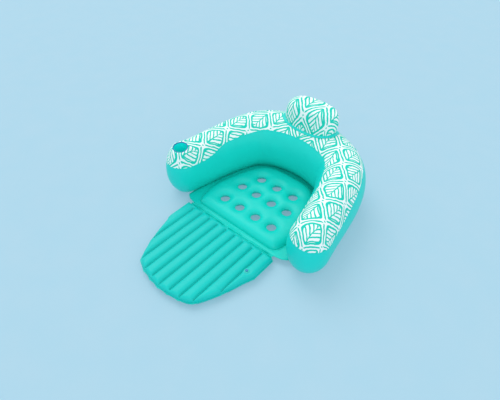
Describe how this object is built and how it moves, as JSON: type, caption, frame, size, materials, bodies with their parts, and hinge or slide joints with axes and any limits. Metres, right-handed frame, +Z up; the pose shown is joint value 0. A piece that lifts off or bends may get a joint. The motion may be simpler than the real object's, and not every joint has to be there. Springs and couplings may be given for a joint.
{
  "type": "inflatable pool float",
  "caption": "Horseshoe inflatable lounge float with printed ring top, seat pad with drain holes, headrest pillow, cup holder and a folding ribbed footrest.",
  "frame": {"origin": "on the ground under the middle of the float's box", "axes": "+X to the sitter's left, +Y from the feet to the head, +Z up"},
  "size_m": [1.1947, 1.4678, 0.528],
  "materials": {
    "teal_vinyl": "satin-gloss PVC film",
    "printed_fabric": "woven plush cover with a white leaf lattice on teal",
    "blue_plastic": "soft moulded PVC",
    "cup_plastic": "moulded PVC"
  },
  "bodies": {
    "float": {"ring_top_panel": "printed_fabric", "ring_inner_wall": "teal_vinyl", "ring_outer_wall": "teal_vinyl", "ring_bottom_panel": "teal_vinyl", "seat_top_sheet": "teal_vinyl", "seat_base_sheet": "teal_vinyl", "headrest_cover": "printed_fabric", "headrest_base_sheet": "teal_vinyl", "headrest_weld_flange": "teal_vinyl", "cup_holder_cup": "cup_plastic", "cup_holder_rim": "blue_plastic", "footrest_hinge_web": "teal_vinyl", "ring_valve_flange": "blue_plastic", "seat_valve_flange": "blue_plastic", "headrest_valve_flange": "blue_plastic"},
    "footrest": {"footrest_top_sheet": "teal_vinyl", "footrest_bottom_sheet": "teal_vinyl", "footrest_weld_flange": "teal_vinyl", "footrest_valve_flange": "blue_plastic"},
    "ring_stem": {"ring_valve_stem": "blue_plastic"},
    "ring_plug": {"ring_valve_plug": "blue_plastic"},
    "ring_flap": {"ring_valve_flap": "blue_plastic"},
    "seat_stem": {"seat_valve_stem": "blue_plastic"},
    "seat_plug": {"seat_valve_plug": "blue_plastic"},
    "seat_flap": {"seat_valve_flap": "blue_plastic"},
    "footrest_stem": {"footrest_valve_stem": "blue_plastic"},
    "footrest_plug": {"footrest_valve_plug": "blue_plastic"},
    "footrest_flap": {"footrest_valve_flap": "blue_plastic"},
    "headrest_stem": {"headrest_valve_stem": "blue_plastic"},
    "headrest_plug": {"headrest_valve_plug": "blue_plastic"},
    "headrest_flap": {"headrest_valve_flap": "blue_plastic"}
  },
  "joints": [
    {"name": "footrest_fold", "type": "hinge", "parent": "float", "child": "footrest", "pos_m": [0, -0.1932, 0.034], "axis": [-1, 0, 0], "range_deg": [-35, 92], "deforming": ["footrest_hinge_web"]},
    {"name": "ring_stem_pull", "type": "slide", "parent": "float", "child": "ring_stem", "axis": [0.2529, 0.9675, 0], "range_m": [0, 0.01]},
    {"name": "ring_plug_pull", "type": "slide", "parent": "ring_stem", "child": "ring_plug", "axis": [0.2529, 0.9675, 0], "range_m": [0, 0.012]},
    {"name": "ring_flap_swing", "type": "hinge", "parent": "ring_stem", "child": "ring_flap", "pos_m": [0.18178, 0.69321, 0.15801], "axis": [-0.9675, 0.2529, 0], "range_deg": [0, 40], "stiffness_Nm_per_rad": 0.0002},
    {"name": "seat_stem_pull", "type": "slide", "parent": "float", "child": "seat_stem", "axis": [0, 0, -1], "range_m": [0, 0.01]},
    {"name": "seat_plug_pull", "type": "slide", "parent": "seat_stem", "child": "seat_plug", "axis": [0, 0, -1], "range_m": [0, 0.012]},
    {"name": "seat_flap_swing", "type": "hinge", "parent": "seat_stem", "child": "seat_flap", "pos_m": [0.245, 0.0464, 0.023], "axis": [-1, 0, 0], "range_deg": [0, 40], "stiffness_Nm_per_rad": 0.0002},
    {"name": "footrest_stem_pull", "type": "slide", "parent": "footrest", "child": "footrest_stem", "axis": [0, 0, 1], "range_m": [0, 0.01]},
    {"name": "footrest_plug_pull", "type": "slide", "parent": "footrest_stem", "child": "footrest_plug", "axis": [0, 0, 1], "range_m": [0, 0.012]},
    {"name": "footrest_flap_swing", "type": "hinge", "parent": "footrest_stem", "child": "footrest_flap", "pos_m": [0.289, -0.3724, 0.0491], "axis": [-1, 0, 0], "range_deg": [0, 40], "stiffness_Nm_per_rad": 0.0002},
    {"name": "headrest_stem_pull", "type": "slide", "parent": "float", "child": "headrest_stem", "axis": [0.2607, 0.9653, -0.0182], "range_m": [0, 0.01]},
    {"name": "headrest_plug_pull", "type": "slide", "parent": "headrest_stem", "child": "headrest_plug", "axis": [0.2607, 0.9653, -0.0182], "range_m": [0, 0.012]},
    {"name": "headrest_flap_swing", "type": "hinge", "parent": "headrest_stem", "child": "headrest_flap", "pos_m": [0.10318, 0.63817, 0.44699], "axis": [-0.9654, 0.2607, 0], "range_deg": [0, 40], "stiffness_Nm_per_rad": 0.0002}
  ]
}
